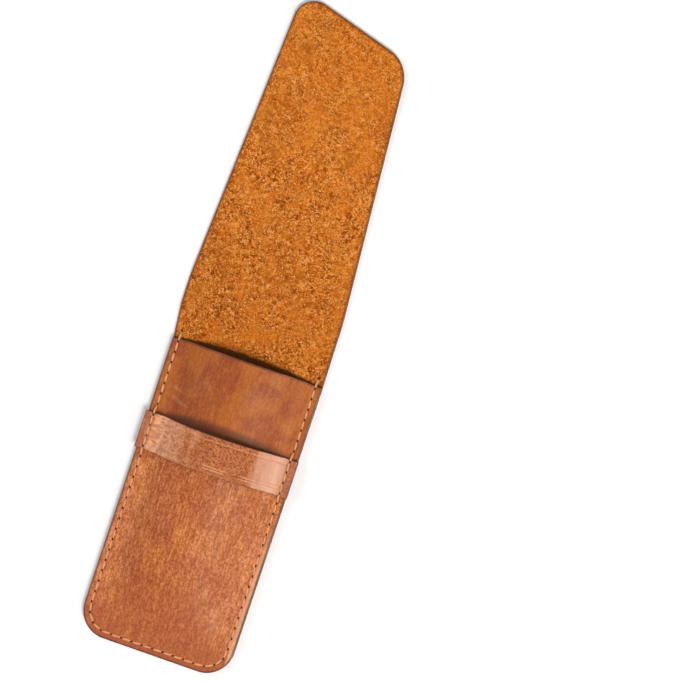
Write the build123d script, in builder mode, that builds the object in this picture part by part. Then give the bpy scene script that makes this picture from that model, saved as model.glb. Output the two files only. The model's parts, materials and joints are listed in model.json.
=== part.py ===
"""Leather pen case lying open on its back: a sewn pocket for a few pens, a keeper band across
its front, and a long tapered flap that folds over the mouth and reaches down past the band.
Millimetres. X runs across the case, Y along it towards the flap's tip, Z up from the floor."""

from build123d import *
from math import atan2, cos, degrees, pi, radians, sin, tan
import os

# Leather
leather = 1.8               # thickness of every panel
layer_gap = 0.1             # glue line between two sewn layers
case_width = 72.0
case_length = 140.0         # mouth to bottom edge
corner_radius = 13.0

# Pocket front
pocket_rise = 9.0           # how far the front stands off the back at the mouth
mouth_bow = 1.0             # its top edge is cut this much higher in the middle
margin = 5.0                # flat sewn margin either side of the crown
bend_share = 0.25           # part of the crown's half width that bends up from the margin
bottom_margin = 8.5         # wider, so that the seam's corners lie in it
crown_sections = 8          # closer together towards the bottom, where the crown runs out
trim = 2.0                  # the crown is shaped this much longer at the mouth, then cut

# Keeper band
band_height = 17.5
band_below_mouth = 35.0
band_overhang = 0.8         # its ends stand past the sides of the case
band_gap = 5.0              # room for the flap between the front and the band

# Flap
flap_reach = 165.0          # mouth to the highest point of the tip
flap_width = 73.2
flap_flare = 16.0           # height over which it grows to that width above the mouth
taper_start = 30.0          # height at which it begins to narrow
taper_angle = 3.9           # of each side, degrees
flap_shift = 0.9            # it sits this far to the left of the case
flap_lean = 0.4             # and leans this many degrees to the left
tip_slant = 16.8            # slope of its straight cut end, degrees
tip_radius_left = 9.5
tip_radius_right = 15.0
blend_radius = 160.0        # eases the start of the taper
first_fold = 8.0            # height above the mouth
closed_clearance = 1.0      # closed flap above the band
fold_gap = 0.3              # relief between the leathers either side of a fold

# Seam
seam_inset = 3.0            # side of the case to the middle of the seam
seam_start = 3.8            # first hole above the mouth, in the back alone
stitch_pitch = 5.0
thread_width = 0.9
thread_height = 0.7
thread_clearance = 0.08     # thread to the sides of its slits and of its groove in the back

case_half = case_width / 2
crown_half = case_half - margin
front_z = leather + layer_gap                 # underside of the front's margin
band_z = front_z + leather + layer_gap        # underside of the band's ends
mouth_y = (case_length - flap_reach) / 2
bottom_y = mouth_y - case_length
band_top_y = mouth_y - band_below_mouth
band_low_y = band_top_y - band_height
crown_end_y = bottom_y + bottom_margin
seam_half = case_half - seam_inset
seam_mouth_y = mouth_y + mouth_bow * (1 - (seam_half / case_half) ** 2)    # the mouth's edge at the seam
thread_low = thread_clearance / 2             # the back's stitches lie this far up in their groove


def rise_at(y):
    """Rise of the pocket at y: full at the mouth, easing down to the flat bottom margin."""
    down = min(max((mouth_y - y) / (mouth_y - crown_end_y), 0), 1)
    return pocket_rise * (1 - down**8) ** 1.5


band_rise = rise_at(band_top_y) + band_gap
spine_height = band_z + band_rise + closed_clearance
first_fold_y = mouth_y + first_fold
second_fold_y = first_fold_y + spine_height


def crown_edges(rise, lift):
    """Arcs of a crown: up from the margin, broadly over, and down. Lift is the offset outwards."""
    if rise == 0:
        edge = crown_half * (1 - bend_share)
        ends = [(-crown_half, lift), (-edge, lift), (edge, lift), (crown_half, lift)]
        return [Line(start, end) for start, end in zip(ends, ends[1:])]
    turn = 2 * atan2(rise, crown_half)
    radii = crown_half / sin(turn)
    broad = radii * (1 - bend_share) + lift
    bend = radii * bend_share - lift
    edge, edge_z = broad * sin(turn), rise + lift - broad * (1 - cos(turn))
    middle, middle_z = crown_half - bend * sin(turn / 2), lift + bend * (1 - cos(turn / 2))
    return [
        ThreePointArc((-crown_half, lift), (-middle, middle_z), (-edge, edge_z)),
        ThreePointArc((-edge, edge_z), (0, rise + lift), (edge, edge_z)),
        ThreePointArc((edge, edge_z), (middle, middle_z), (crown_half, lift)),
    ]


def crown_section(y, z, rise):
    """Cross-section at y of a crowned strip of leather, from margin to margin."""
    ends = [Line((side * crown_half, 0), (side * crown_half, leather)) for side in (-1, 1)]
    outline = Wire([*crown_edges(rise, 0), *crown_edges(rise, leather), *ends])
    return Plane((0, y, z), x_dir=(1, 0, 0), z_dir=(0, -1, 0)) * Face(outline)


def hide(low_y, high_y):
    """Outline of the one piece of leather that is back and flap, between two heights."""
    side_slope = tan(radians(taper_angle))
    corner = radians(90 - tip_slant + taper_angle) / 2
    rounding = cos(radians(taper_angle)) / tan(corner) + sin(radians(taper_angle)) - 1
    tip = flap_reach + tip_radius_left * rounding
    tip_half = flap_width / 2 - (tip - taper_start) * side_slope
    with BuildSketch() as outline:
        with Locations(Location((-flap_shift, mouth_y, 0), (0, 0, flap_lean))):
            Polygon(
                (-case_half + flap_shift, 0), (-flap_width / 2, flap_flare),
                (-flap_width / 2, taper_start), (-tip_half, tip), (tip_half, tip),
                (flap_width / 2, taper_start), (flap_width / 2, flap_flare),
                (case_half + flap_shift, 0), align=None,
            )
        split(
            bisect_by=Plane(
                Location((-flap_shift, mouth_y, 0), (0, 0, flap_lean))
                * Location((-tip_half, tip, 0), (0, 0, -tip_slant))
                * Location((0, 0, 0), (-90, 0, 0))
            ),
            keep=Keep.BOTTOM,
        )
        ends = outline.vertices().sort_by(Axis.Y)
        fillet(ends[-1], tip_radius_left)
        fillet(ends[-2], tip_radius_right)
        starts = outline.vertices().filter_by(
            lambda v: abs(v.Y - mouth_y - taper_start) < 1 and abs(v.X) > case_half / 2
        )
        fillet(starts, blend_radius)
        with Locations((0, (mouth_y + bottom_y) / 2)):
            Rectangle(case_width, case_length)
        fillet(outline.vertices().group_by(Axis.Y)[0], corner_radius)
        with Locations((0, (low_y + high_y) / 2)):
            Rectangle(2 * case_width, high_y - low_y, mode=Mode.INTERSECT)
    return outline.sketch


with BuildLine() as seam_line:
    seam_low = bottom_y + seam_inset
    seam_top = mouth_y + seam_start
    FilletPolyline(
        (-seam_half, seam_top), (-seam_half, seam_low), (seam_half, seam_low),
        (seam_half, seam_top), radius=corner_radius - seam_inset,
    )
seam = seam_line.wire()
stitches = round(seam.length / stitch_pitch)
holes = [seam.position_at(i / stitches) for i in range(stitches + 1)]
hole_headings = [seam.tangent_at(i / stitches) for i in range(stitches + 1)]
hole_places = [
    Location(hole, (0, 0, degrees(atan2(hole_headings[i].Y, hole_headings[i].X))))
    for i, hole in enumerate(holes)
]


def thread_top(hole):
    """Top of the thread where it comes out of a hole, on the highest leather there."""
    leather_top = front_z + leather
    if hole.Y > mouth_y:
        leather_top = leather
    elif band_low_y < hole.Y < band_top_y:
        leather_top = band_z + leather
    return leather_top + thread_clearance + thread_height


low_edge = (Align.CENTER, Align.MIN)
upright = (Align.CENTER, Align.CENTER, Align.MIN)


def stitch(start, end):
    """One stitch from hole to hole, front and back, stepping over the edge of a layer."""
    along = end - start
    low = thread_low + thread_height / 2
    start_top = thread_top(start) - thread_height / 2
    end_top = thread_top(end) - thread_height / 2
    run = [(0, start_top)]
    if start_top != end_top:
        edge = min((seam_mouth_y, band_top_y, band_low_y), key=lambda y: abs(y - (start + end).Y / 2))
        aside = thread_height / 2 + thread_clearance
        over = abs(edge - start.Y) + (aside if start_top > end_top else -aside)
        run += [(over, start_top), (over, end_top)]
    with BuildPart() as one:
        with BuildSketch(Plane(start, x_dir=along, z_dir=along.cross(Vector(0, 0, 1)))):
            with BuildLine():
                Polyline(*run, (along.length, end_top))
                Line((0, low), (along.length, low))
            trace(line_width=thread_height)
        extrude(amount=thread_width / 2, both=True)
    return one.part


with BuildSketch() as slits:
    with Locations(*hole_places):
        Rectangle(thread_height + 2 * thread_clearance, thread_width + 2 * thread_clearance)

with BuildSketch() as groove:
    with BuildLine():
        Polyline(*holes)
    trace(line_width=thread_width + 2 * thread_clearance)

with BuildPart() as back_panel:
    extrude(hide(bottom_y, first_fold_y - fold_gap / 2), amount=leather)
    extrude(groove.sketch, amount=thread_height + thread_clearance, mode=Mode.SUBTRACT)
    extrude(slits.sketch, amount=leather, mode=Mode.SUBTRACT)

with BuildPart() as flap_spine:
    extrude(hide(first_fold_y + fold_gap / 2, second_fold_y - fold_gap / 2), amount=leather)

with BuildPart() as flap_tongue:
    extrude(hide(second_fold_y + fold_gap / 2, mouth_y + flap_reach), amount=leather)

front_sections = [
    crown_section(y, front_z, rise_at(y))
    for y in [mouth_y + mouth_bow + trim]
    + [
        mouth_y - (mouth_y - crown_end_y) * sin(pi / 2 * i / crown_sections)
        for i in range(crown_sections + 1)
    ]
]

with BuildSketch() as front_outline:
    with BuildLine():
        ThreePointArc((-case_half, mouth_y), (0, mouth_y + mouth_bow), (case_half, mouth_y))
        Polyline(
            (case_half, mouth_y), (case_half, bottom_y), (-case_half, bottom_y), (-case_half, mouth_y)
        )
    make_face()
    fillet(front_outline.vertices().group_by(Axis.Y)[0], corner_radius)

with BuildPart() as front_panel:
    loft(front_sections)
    extrude(front_outline.sketch, amount=2 * (band_z + pocket_rise), mode=Mode.INTERSECT)
    with BuildSketch(Plane.XY.offset(front_z)):
        add(front_outline.sketch)
        with Locations((0, crown_end_y)):
            Rectangle(2 * crown_half, case_length, align=low_edge, mode=Mode.SUBTRACT)
    extrude(amount=leather)
    extrude(slits.sketch, amount=band_z, mode=Mode.SUBTRACT)

band_section = crown_section(band_low_y, band_z, band_rise)

with BuildPart() as keeper_band:
    extrude(band_section, amount=band_height, dir=(0, 1, 0))
    with BuildSketch(Plane.XY.offset(band_z)):
        with Locations((0, band_low_y)):
            Rectangle(2 * (case_half + band_overhang), band_height, align=low_edge)
            Rectangle(2 * crown_half, band_height, align=low_edge, mode=Mode.SUBTRACT)
    extrude(amount=leather)
    extrude(slits.sketch, amount=band_z + leather, mode=Mode.SUBTRACT)

with BuildPart() as seam_thread:
    for top in {thread_top(hole) for hole in holes}:
        legs = [place for place in hole_places if thread_top(place.position) == top]
        with Locations(*legs):
            with Locations((0, 0, thread_low)):
                Box(thread_height, thread_width, top - thread_low, align=upright)
    add([stitch(start, end) for start, end in zip(holes, holes[1:])])

os.makedirs("parts", exist_ok=True)
for piece, name in (
    (back_panel, "back_panel"),
    (front_panel, "front_panel"),
    (keeper_band, "keeper_band"),
    (flap_spine, "flap_spine"),
    (flap_tongue, "flap_tongue"),
    (seam_thread, "seam_thread"),
):
    piece.part.label = name
    export_step(piece.part, f"parts/{name}.step")
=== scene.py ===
"""Looks of a leather pen case that lies open on its back: two sheets of leather cut apart between
the flap's folds, a crowned pocket front, a keeper band and a saddle-stitched seam, on a pale
floor."""

import json
from math import acos, atan2, cos, hypot, inf, pi, radians, sin, tan

import bmesh
import bpy
import numpy as np
from bpy.props import FloatProperty, FloatVectorProperty, PointerProperty
from bpy.types import NodeSocket, Operator, Panel, PropertyGroup
from mathutils import Matrix, Vector


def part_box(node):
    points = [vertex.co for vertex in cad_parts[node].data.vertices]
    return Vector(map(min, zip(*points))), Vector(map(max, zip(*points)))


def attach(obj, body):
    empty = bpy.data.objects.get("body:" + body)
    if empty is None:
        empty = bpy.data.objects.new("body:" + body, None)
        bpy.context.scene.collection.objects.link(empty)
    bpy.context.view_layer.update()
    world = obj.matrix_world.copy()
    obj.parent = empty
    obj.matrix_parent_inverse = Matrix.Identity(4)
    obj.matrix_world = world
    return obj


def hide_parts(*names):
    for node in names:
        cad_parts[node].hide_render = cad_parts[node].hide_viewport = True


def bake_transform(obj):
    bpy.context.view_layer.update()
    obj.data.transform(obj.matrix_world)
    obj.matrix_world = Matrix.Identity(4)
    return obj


bl_info = {
    "name": "Leather pen case",
    "version": (1, 0, 0),
    "blender": (4, 5, 0),
    "location": "View3D > Sidebar > Pen case",
    "description": "Dresses the pen case's frame in leather, suede and thread",
    "category": "Object",
}

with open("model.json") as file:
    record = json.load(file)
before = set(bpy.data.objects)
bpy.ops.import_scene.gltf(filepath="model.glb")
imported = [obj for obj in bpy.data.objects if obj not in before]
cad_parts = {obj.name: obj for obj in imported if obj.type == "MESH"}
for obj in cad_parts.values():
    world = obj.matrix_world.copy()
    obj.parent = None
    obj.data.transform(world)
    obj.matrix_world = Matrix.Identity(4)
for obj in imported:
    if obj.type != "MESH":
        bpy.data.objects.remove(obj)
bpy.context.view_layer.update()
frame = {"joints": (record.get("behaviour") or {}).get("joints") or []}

MM = 0.001
BACK_LOW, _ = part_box("back_panel")
FRONT_LOW, FRONT_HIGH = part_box("front_panel")
BAND_LOW, BAND_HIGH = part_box("keeper_band")
SPINE_LOW, SPINE_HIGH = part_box("flap_spine")
_, TONGUE_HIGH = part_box("flap_tongue")
FOLDS = {joint["name"]: joint["pos_m"] for joint in frame["joints"]}

LEATHER = SPINE_HIGH.z - SPINE_LOW.z
FLOOR_Z = BACK_LOW.z
CASE_HALF = FRONT_HIGH.x
BOTTOM_Y = FRONT_LOW.y
MOUTH_BOW = 1.0 * MM
MOUTH_Y = FRONT_HIGH.y - MOUTH_BOW
TIP_Y = TONGUE_HIGH.y
CORNER = 13.0 * MM
FRONT_Z = LEATHER + 0.1 * MM
BAND_Z = FRONT_Z + LEATHER + 0.1 * MM
POCKET_RISE = FRONT_HIGH.z - FRONT_Z - LEATHER
BAND_RISE = BAND_HIGH.z - BAND_Z - LEATHER
CROWN_HALF = CASE_HALF - 5.0 * MM
CROWN_END_Y = BOTTOM_Y + 8.5 * MM
BEND_SHARE = 0.25
CROWDING = 0.72
SEAM_INSET = 3.0 * MM
SEAM_TOP_Y = MOUTH_Y + 3.8 * MM

FLAP_HALF = 36.6 * MM
FLAP_FLARE = 16.0 * MM
TAPER_START = 30.0 * MM
TAPER = radians(3.9)
SHOULDER_RADIUS = 0.16
FLAP_SHIFT = 0.9 * MM
FLAP_LEAN = radians(0.4)
TIP_SLANT = radians(16.8)
TIP_RADIUS_LEFT = 9.5 * MM
TIP_RADIUS_RIGHT = 15.0 * MM
TIP_SPRING = 0.6 * MM

SEAM_DIP, BAND_DIP, DIP_WIDTH = 0.30 * MM, 0.25 * MM, 0.9 * MM
GROOVE_DEPTH, GROOVE_WIDTH = 0.75 * MM, 0.62 * MM
THREAD_HEIGHT = 0.7 * MM
TWIST_LENGTH = 2.6 * MM
STITCH_SHARE = 0.78
STITCH_LIFT, UNDER_Z, HOLE_SINK = 0.20 * MM, 0.38 * MM, 0.16 * MM
STITCH_SLANT, HOLE_SLANT = 0.06, 0.5
SPOTS = 31
TUBE_SIDES = 14
PLY_SWELL, END_SLIMMING = 0.10, 0.30
STITCH_DIVE = 0.95 * MM
HOLE_NARROWING, HOLE_DEPTH = 0.72, 0.55 * MM
UNEVENNESS, SEED = 0.18, 7

# Place along the case, depth and width of each, in mm
FOLD_WRINKLES = (
    (1.5, 0.30, 1.1), (6.5, 0.22, 0.9), (11.0, 0.38, 1.2), (16.0, 0.24, 1.0), (22.0, 0.16, 1.1),
)
# Place from the middle and down from the mouth, angle, length, width and height, in mm and degrees
PUCKERS = (
    (-24, 22, -20, 5.5, 0.9, 0.42),
    (-20, 24.5, -30, 5.0, 0.9, -0.40),
    (-23, 26.5, -14, 6.0, 1.0, 0.40),
    (-8, 24, 70, 4.5, 0.7, 0.20),
    (-11, 25, 66, 4.0, 0.7, -0.18),
    (24, 110, 66, 13.0, 1.5, 0.22),
)
# Place up the band and depth of each creased line, in mm
BAND_HEIGHT = BAND_HIGH.y - BAND_LOW.y
BAND_LINES = ((BAND_HEIGHT - 2.8 * MM, 0.26), (3.1 * MM, 0.32), (4.3 * MM, 0.20))

AIM = Vector((42.30 * MM, 8.00 * MM, LEATHER))
PICTURE_WIDTH = 315.8 * MM
LENS = 600.0
FLOOR_REACH = 6.0
LAMP_DISTANCE = 2.0
# Direction, size, share of the key's power and colour of each soft box
LAMPS = {
    "key_box": ((0.42, -0.35, 1.00), 0.75, 1.0, (1.0, 0.985, 0.96)),
    "side_box": ((0.95, -0.10, 0.65), 1.80, 0.41, (1, 1, 1)),
    "rim_box": ((-0.90, 0.20, 0.75), 1.40, 0.47, (1, 1, 1)),
}


# Sizes and colours


def colour(name, description, value):
    return FloatVectorProperty(
        name=name, description=description, subtype="COLOR", size=3, min=0, max=1, default=value
    )


def length(name, description, value, low, high):
    return FloatProperty(
        name=name, description=description, unit="LENGTH", default=value * MM, min=low * MM,
        max=high * MM,
    )


def turn(name, description, degrees):
    return FloatProperty(
        name=name, description=description, unit="ROTATION", default=radians(degrees)
    )


class PenCaseLeather(PropertyGroup):
    grain: colour("Grain side", "Main colour of the smooth side", (0.435, 0.114, 0.031))
    grain_orange: colour(
        "Pulled colour", "Warmer clouds where the wax has moved", (0.540, 0.168, 0.034)
    )
    grain_deep: colour(
        "Deep colour", "Darker, redder clouds of the smooth side", (0.340, 0.076, 0.032)
    )
    flesh: colour("Flesh side", "Main colour of the napped side", (0.660, 0.172, 0.012))
    flesh_deep: colour("Flesh shade", "Darker patches of the nap", (0.205, 0.036, 0.002))
    cut_edge: colour("Cut edge", "Colour of the cut edges", (0.075, 0.030, 0.016))
    edge_round: length("Edge rounding", "Radius of the rubbed edges", 0.45, 0.05, 0.85)
    fold_length: length("Fold length", "Length of leather that bends at a fold", 7.0, 4.0, 14.0)


class PenCaseSewing(PropertyGroup):
    thread: colour("Thread", "Colour of the waxed thread", (0.790, 0.345, 0.135))
    thread_width: length("Thread width", "Width of a stitch", 1.0, 0.4, 1.6)
    pitch: length("Pitch", "Distance from hole to hole", 5.0, 3.0, 8.0)
    hole_width: length("Hole width", "Width of an awl hole", 2.1, 0.4, 2.4)


class PenCaseStage(PropertyGroup):
    floor: colour("Floor", "Colour of the floor", (0.86, 0.86, 0.86))
    key: FloatProperty(
        name="Key light", description="Power of the soft box at the lower right", default=27.5,
        min=0, unit="POWER",
    )
    fill: FloatProperty(
        name="Sky", description="Strength of the even light from all round", default=0.20, min=0
    )
    lean_right: turn("Lean right", "Camera's tilt towards the case's right", 7.5)
    lean_up: turn("Lean up", "Camera's tilt towards the flap's tip", 5.0)
    roll: turn("Roll", "Turn of the case in the picture", 18.63)


class PenCase(PropertyGroup):
    leather: PointerProperty(type=PenCaseLeather)
    sewing: PointerProperty(type=PenCaseSewing)
    stage: PointerProperty(type=PenCaseStage)


# Node trees


def feed(node, inputs):
    """Link each input of a node to a socket, or give it its value."""
    for name, value in inputs.items():
        socket = node.inputs[name]
        if isinstance(value, NodeSocket):
            socket.id_data.links.new(value, socket)
        elif socket.type == "RGBA" and len(value) == 3:
            socket.default_value = (*value, 1.0)
        else:
            socket.default_value = value
    return node


def add_node(tree, kind, inputs=None, **settings):
    """The outputs of a new node, once it has its settings and inputs."""
    made = tree.nodes.new(kind)
    for name, value in settings.items():
        setattr(made, name, value)
    return feed(made, inputs or {}).outputs


def tree_of(*values):
    """The node tree that the sockets among some values are in."""
    return next(value.id_data for value in values if isinstance(value, NodeSocket))


def mixed(share, first, second, blend="MIX"):
    """Colour between two colours, or one laid on the other."""
    return add_node(
        tree_of(share, first, second), "ShaderNodeMix", {0: share, 6: first, 7: second},
        data_type="RGBA", blend_type=blend,
    )[2]


def layered(base, *layers):
    """A colour with others laid over it in turn, each by its share."""
    for share, over in layers:
        base = mixed(share, base, over)
    return base


def calc(operation, first, second=0.0, clamp=False):
    return add_node(
        tree_of(first, second), "ShaderNodeMath", {0: first, 1: second}, operation=operation,
        use_clamp=clamp,
    )[0]


def times(first, second):
    return calc("MULTIPLY", first, second)


def plus(first, second, clamp=False):
    return calc("ADD", first, second, clamp)


def minus(first, second):
    return calc("SUBTRACT", first, second)


def noise(place, scale, detail=3.0, roughness=0.6, distortion=0.0, stretch=(1, 1, 1)):
    """Noise on the leather's own place, longer along some axes where stretch is under one."""
    tree = tree_of(place)
    if stretch != (1, 1, 1):
        place = add_node(tree, "ShaderNodeMapping", {"Vector": place, "Scale": stretch})[0]
    return add_node(
        tree, "ShaderNodeTexNoise",
        {"Vector": place, "Scale": scale, "Detail": detail, "Roughness": roughness,
         "Distortion": distortion},
    )["Fac"]


def stepped(value, low, high, most=1.0, least=0.0):
    """Smooth step from least to most as a value goes from low to high."""
    return add_node(
        tree_of(value), "ShaderNodeMapRange",
        {"Value": value, "From Min": low, "From Max": high, "To Min": least, "To Max": most},
        interpolation_type="SMOOTHSTEP",
    )["Result"]


def attribute(tree, name, output="Fac"):
    return add_node(tree, "ShaderNodeAttribute", attribute_name=name)[output]


def object_place(tree):
    return add_node(tree, "ShaderNodeTexCoord")["Object"]


def axes_of(place):
    return add_node(tree_of(place), "ShaderNodeSeparateXYZ", {"Vector": place})


def bowed(place, most):
    """A height over the case's middle, running out to nothing at both sides."""
    share = times(axes_of(place)["X"], 1 / CASE_HALF)
    return times(minus(1.0, times(share, share)), most)


def new_group(name, inputs, outputs):
    """Empty shader group with sockets of given kinds, the input's sockets and the output node."""
    tree = bpy.data.node_groups.new(name, "ShaderNodeTree")
    for way, sockets in (("INPUT", inputs), ("OUTPUT", outputs)):
        for label, kind in sockets.items():
            tree.interface.new_socket(name=label, in_out=way, socket_type="NodeSocket" + kind)
    return tree, tree.nodes.new("NodeGroupInput").outputs, tree.nodes.new("NodeGroupOutput")


def cloud_group():
    """Soft clouds and fine streaks of a waxed grain side."""
    tree, given, made = new_group(
        "Pulled wax",
        {"Place": "Vector", "Base": "Color", "Warm": "Color", "Deep": "Color"},
        {"Color": "Color", "Wax": "Float"},
    )
    place = given["Place"]
    broad = noise(place, 48.0, 4.0, 0.55, 0.5, (1.0, 0.8, 1.0))
    patches = noise(place, 62.0, 5.0, 0.6, 0.4, (1.0, 0.7, 1.0))
    streaks = noise(place, 800.0, 3.0, 0.6, 0.0, (1.0, 0.16, 1.0))
    specks = noise(place, 1250.0, 3.0, 0.65, 0.6, (1.0, 0.65, 1.0))
    clouded = layered(
        given["Base"],
        (stepped(broad, 0.44, 0.64, 0.6), given["Warm"]),
        (stepped(patches, 0.46, 0.72, 0.5), given["Deep"]),
    )
    drawn = mixed(stepped(streaks, 0.38, 0.62), (0.83, 0.74, 0.58), (1.16, 1.25, 1.42))
    grains = mixed(stepped(specks, 0.38, 0.62), (0.71, 0.60, 0.38), (1.26, 1.42, 1.75))
    lined = mixed(1.0, clouded, drawn, "MULTIPLY")
    feed(
        made, {"Color": mixed(1.0, lined, grains, "MULTIPLY"), "Wax": stepped(broad, 0.35, 0.7)}
    )
    return tree


def pore_group():
    """Height of a fine grain: pores, lengthwise creases and a few scratches."""
    tree, given, made = new_group("Fine grain", {"Place": "Vector"}, {"Height": "Float"})
    place = given["Place"]
    pores = add_node(
        tree, "ShaderNodeTexVoronoi", {"Vector": place, "Scale": 1400.0, "Randomness": 1.0},
        feature="F1",
    )["Distance"]
    creases = noise(place, 300.0, 4.0, 0.6, 0.4, (1.0, 0.35, 1.0))
    scratch = noise(place, 90.0, 2.0, 0.4, 1.5, (0.12, 1.0, 1.0))
    thin = stepped(calc("ABSOLUTE", minus(scratch, 0.5)), 0.0, 0.006)
    height = plus(times(pores, 0.25), times(creases, 0.6))
    feed(made, {"Height": plus(height, times(thin, 0.06))})
    return tree


def nap_group():
    """Short cut fibres of the flesh side: colour and height, calmer towards the flap's tip."""
    tree, given, made = new_group(
        "Short nap",
        {"Place": "Vector", "Base": "Color", "Shade": "Color", "Edge": "Float"},
        {"Color": "Color", "Height": "Float"},
    )
    place, base, shade = given["Place"], given["Base"], given["Shade"]
    clouds = noise(place, 42.0, 4.0, 0.6, 0.5, (1.0, 0.7, 1.0))
    tufts = noise(place, 170.0, 3.0, 0.6, 0.8)
    fibres = noise(place, 620.0, 3.0, 0.7, 1.6)
    glints = noise(place, 700.0, 3.0, 0.7, 1.6, (0.8, 1.0, 1.0))
    patches = noise(place, 70.0, 3.0, 0.6, 0.5)
    rubbed = stepped(noise(place, 85.0, 3.0, 0.6, 0.4), 0.38, 0.58, 1.0, 0.62)
    coarse = times(rubbed, stepped(axes_of(place)["Y"], 60 * MM, 115 * MM, 0.78, 1.0))
    golden = mixed(1.0, base, (1.02, 1.13, 1.30), "MULTIPLY")
    light = mixed(1.0, base, (1.35, 2.15, 8.0), "MULTIPLY")
    rough_edge = minus(given["Edge"], times(fibres, 1.6 * MM))
    napped = layered(
        base,
        (stepped(patches, 0.42, 0.62), golden),
        (stepped(clouds, 0.45, 0.72, 0.40), shade),
        (stepped(tufts, 0.45, 0.70, 0.30), shade),
        (times(stepped(glints, 0.49, 0.57), coarse), light),
        (times(stepped(fibres, 0.49, 0.57, 0.95), coarse), shade),
        (stepped(rough_edge, -0.6 * MM, 0.9 * MM, 0.0, 0.85), shade),
    )
    feed(made, {"Color": napped, "Height": plus(times(tufts, 0.8), times(fibres, 0.6))})
    return tree


# Materials: colours of wear and soil, of painted light and painted shade, and the places where
# they lie

# Tint of the painted shade above the band, and its darker golden clouds
SHADE_ABOVE_BAND = (0.81, 0.73, 0.49)
CLOUD_DARK, CLOUD_GOLD = (0.295, 0.060, 0.017), (0.465, 0.132, 0.018)
# Lightening of the painted light along the sides
PALED = (1.30, 1.60, 2.0)
# Painted light of the right margin strip, and painted highlight of the pucker ridges
LIT_STRIP, RIDGE_HIGHLIGHT = (0.80, 0.42, 0.25), (0.78, 0.38, 0.20)
# Painted shadows at the band's upper edge and just inside the mouth
GAP_SHADOW, MOUTH_SHADE = (0.075, 0.020, 0.007), (0.060, 0.016, 0.003)
RASPED_DARK, RASPED_LIGHT = (0.150, 0.024, 0.002), (0.595, 0.182, 0.050)
# Painted light at the band's left end, painted highlights at its right end and along its creases
LEFT_END_LIGHT, RIGHT_END_HIGHLIGHT, CREASE_HIGHLIGHT = (0.76, 0.325, 0.165), (0.74, 0.40, 0.27), (0.80, 0.42, 0.24)
STRAND_DARK, STRAND_LIGHT = (0.43, 0.150, 0.062), (0.90, 0.470, 0.265)
THREAD_SHADE, THREAD_SOIL = (0.42, 0.17, 0.07), (0.50, 0.20, 0.08)
HOLE_DARK, HOLE_LIGHT = (0.014, 0.005, 0.003), (0.045, 0.015, 0.007)

ABOVE_BAND_Y = (BAND_LOW.y, BAND_HIGH.y + 8 * MM)
DARK_BOTTOM_Y = (-105 * MM, -145 * MM)
PALE_SIDES_X = (17 * MM, 30 * MM)
PALE_SIDES_TOP_Y, PALE_SIDES_LOW_Y = (-60 * MM, -85 * MM), (-143 * MM, -128 * MM)
STRIP_X, STRIP_Y = (33.2 * MM, 34.2 * MM), (-75 * MM, -100 * MM)
# Where the painted shade along the bottom edge lies
SHADED_EDGE_Y, SHADED_EDGE_REACH = (-149.6 * MM, -150.6 * MM), (3.2 * MM, 2.2 * MM)
GAP_TOP_Y = (BAND_HIGH.y + 1.2 * MM, BAND_HIGH.y - 1.8 * MM)
GAP_LOW_Y = (BAND_LOW.y + 3 * MM, BAND_LOW.y + 6 * MM)
FRONT_FROM_Z = (LEATHER, FRONT_Z + 0.5 * MM)
BAND_MARGIN_X = (30.8 * MM, 33.0 * MM)
# Place and share of each painted highlight line along the band's creases
CREASE_HIGHLIGHT_LINES = (
    (BAND_LOW.y + 3.7 * MM, 0.60), (BAND_LOW.y + 2.5 * MM, 0.50), (BAND_HIGH.y - 2.3 * MM, 0.35),
)


def new_material(name):
    """A material's node tree and its shader."""
    made = bpy.data.materials.new(name + "_look")
    made.use_nodes = True
    return made.node_tree, made.node_tree.nodes["Principled BSDF"]


def leather_material(name):
    tree, shader = new_material(name)
    return tree, shader, attribute(tree, "leather_place", "Vector")


def grouped(tree, group, inputs):
    return add_node(tree, "ShaderNodeGroup", inputs, node_tree=group)


def waxed(tree, clouds, place, leather):
    return grouped(
        tree, clouds,
        {"Place": place, "Base": leather.grain, "Warm": leather.grain_orange,
         "Deep": leather.grain_deep},
    )


def bumped(height, strength, distance):
    return add_node(
        tree_of(height), "ShaderNodeBump",
        {"Height": height, "Strength": strength, "Distance": distance},
    )["Normal"]


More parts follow.
